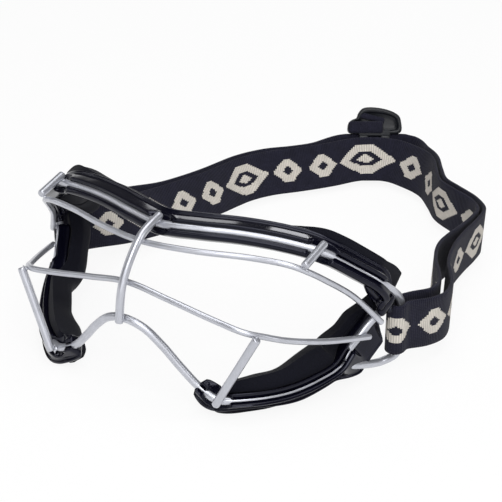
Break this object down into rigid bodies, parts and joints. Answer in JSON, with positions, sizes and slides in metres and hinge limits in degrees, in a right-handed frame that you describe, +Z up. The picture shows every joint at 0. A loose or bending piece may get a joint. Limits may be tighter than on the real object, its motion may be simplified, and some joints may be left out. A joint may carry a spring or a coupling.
{
  "type": "sports eye guard",
  "caption": "Wire-cage sports eye guard with moulded and foam-padded rims, held by a doubled elastic strap with a sliding adjuster.",
  "frame": {"origin": "middle of the whole outline on the table, at the lowest point", "axes": "+Z up, +Y from the cage towards the back of the strap, +X towards the wearer's left"},
  "size_m": [0.1804, 0.2504, 0.0698],
  "materials": {
    "silver_steel": "silver paint on steel wire",
    "gloss_black": "glossy soft moulding",
    "black_foam": "matt closed-cell foam",
    "navy_elastic": "woven elastic with an off-white pattern",
    "satin_plastic": "satin black"
  },
  "bodies": {
    "frame": {"perimeter_wire": "silver_steel", "upper_bar": "silver_steel", "middle_bar": "silver_steel", "nose_strut": "silver_steel", "temple_post_left": "silver_steel", "temple_post_right": "silver_steel", "top_strut_left": "silver_steel", "top_strut_right": "silver_steel", "lower_strut_left": "silver_steel", "lower_strut_right": "silver_steel", "brow_moulding": "gloss_black", "cheek_moulding_left": "gloss_black", "cheek_moulding_right": "gloss_black", "brow_foam": "black_foam", "cheek_foam_left": "black_foam", "cheek_foam_right": "black_foam"},
    "strap": {"elastic_strap": "navy_elastic"},
    "slider": {"strap_slider": "satin_plastic"}
  },
  "joints": [
    {"name": "strap_swing", "type": "hinge", "parent": "frame", "child": "strap", "pos_m": [-0.00338, -0.04884, 0.02149], "axis": [1, 0, 0], "range_deg": [-5, 5]},
    {"name": "slider_slide", "type": "slide", "parent": "strap", "child": "slider", "axis": [0.866, 0.5, 0], "range_m": [-0.004, 0.004]}
  ]
}
